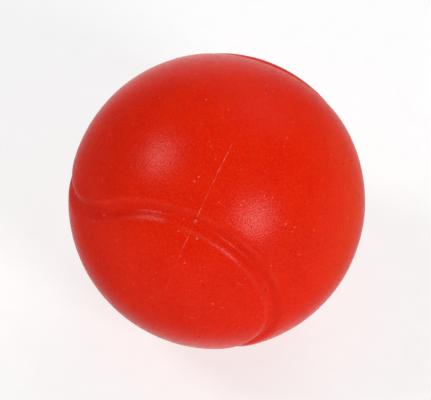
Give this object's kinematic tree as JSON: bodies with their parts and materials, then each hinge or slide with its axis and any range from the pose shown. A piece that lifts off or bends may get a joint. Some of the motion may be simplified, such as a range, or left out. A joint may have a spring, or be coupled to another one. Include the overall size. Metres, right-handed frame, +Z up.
{
  "type": "stress ball",
  "caption": "Soft one-colour moulded foam squeeze ball with a curved tennis-ball seam groove and a thin mould parting line.",
  "frame": {"origin": "centre of the ball", "axes": "+Z up as the ball lies; the mould's pull and squeeze direction points 22.5 degrees to the -Y side of +X and 12.5 degrees down"},
  "size_m": [0.0634, 0.0634, 0.0634],
  "materials": {
    "moulded_skin": "satin self-skinned polyurethane foam, finely pitted",
    "core_foam": "open matt low-density polyurethane foam",
    "flash_web": "thin trimmed polyurethane flash"
  },
  "bodies": {
    "core": {"foam_core": "core_foam", "parting_flash": "flash_web"},
    "right_half": {"skin_half_right": "moulded_skin"},
    "left_half": {"skin_half_left": "moulded_skin"}
  },
  "joints": [
    {"name": "squeeze", "type": "slide", "parent": "core", "child": "right_half", "axis": [-0.902, 0.3736, 0.2164], "range_m": [0, 0.008], "stiffness_N_per_m": 4500, "deforming": ["skin_half_right", "foam_core", "parting_flash"]},
    {"name": "squeeze_left", "type": "slide", "parent": "core", "child": "left_half", "axis": [0.902, -0.3736, -0.2164], "range_m": [0, 0.008], "stiffness_N_per_m": 4500, "deforming": ["skin_half_left"]}
  ],
  "couplings": [
    {"joint": "squeeze_left", "follows": "squeeze", "ratio": 1}
  ]
}
